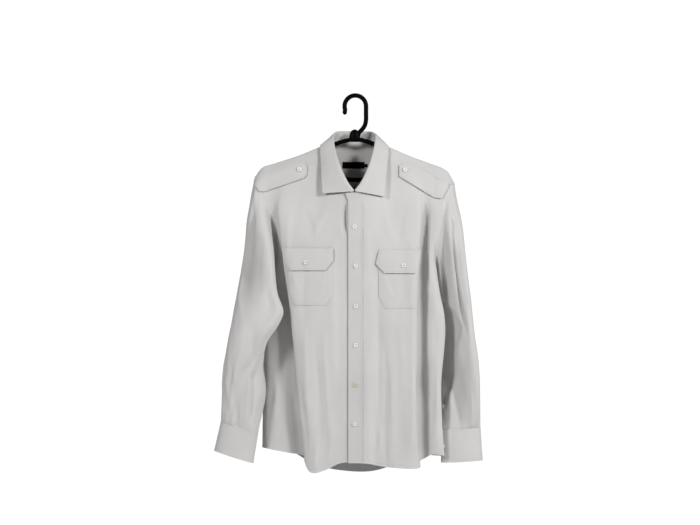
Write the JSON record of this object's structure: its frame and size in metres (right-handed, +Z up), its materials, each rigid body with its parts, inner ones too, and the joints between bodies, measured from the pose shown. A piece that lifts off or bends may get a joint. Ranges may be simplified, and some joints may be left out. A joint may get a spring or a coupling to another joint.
{
  "type": "button-up shirt on hanger",
  "caption": "Long-sleeved button-up shirt with a turned-down collar, epaulettes and flap chest pockets, hung on a plastic hanger.",
  "frame": {"origin": "the inner top of the hanger's hook, where it rests on what holds it", "axes": "+Z up, the front of the shirt faces -Y, and the wearer's left is +X"},
  "size_m": [0.6305, 0.147, 0.8952],
  "materials": {
    "shirt_cloth": "off-white plain-weave shirting with a soft drape",
    "button": "off-white moulded plastic",
    "hanger_plastic": "black moulded plastic, slightly glossy",
    "label": "black woven tape, blank"
  },
  "bodies": {
    "root": {"back": "shirt_cloth", "collar_leaf": "shirt_cloth", "collar_stand": "shirt_cloth", "cuff_button_left": "button", "cuff_button_right": "button", "cuff_left": "shirt_cloth", "cuff_right": "shirt_cloth", "epaulette_button_left": "button", "epaulette_button_right": "button", "epaulette_left": "shirt_cloth", "epaulette_right": "shirt_cloth", "front_left": "shirt_cloth", "front_right": "shirt_cloth", "hanger": "hanger_plastic", "label": "label", "placket": "shirt_cloth", "placket_button_1": "button", "placket_button_2": "button", "placket_button_3": "button", "placket_button_4": "button", "placket_button_5": "button", "placket_button_6": "button", "pocket_button_left": "button", "pocket_button_right": "button", "pocket_flap_left": "shirt_cloth", "pocket_flap_right": "shirt_cloth", "pocket_left": "shirt_cloth", "pocket_right": "shirt_cloth", "size_tab": "label", "sleeve_button_left": "button", "sleeve_button_right": "button", "sleeve_left": "shirt_cloth", "sleeve_placket_left": "shirt_cloth", "sleeve_placket_right": "shirt_cloth", "sleeve_right": "shirt_cloth", "yoke": "shirt_cloth"}
  },
  "joints": []
}
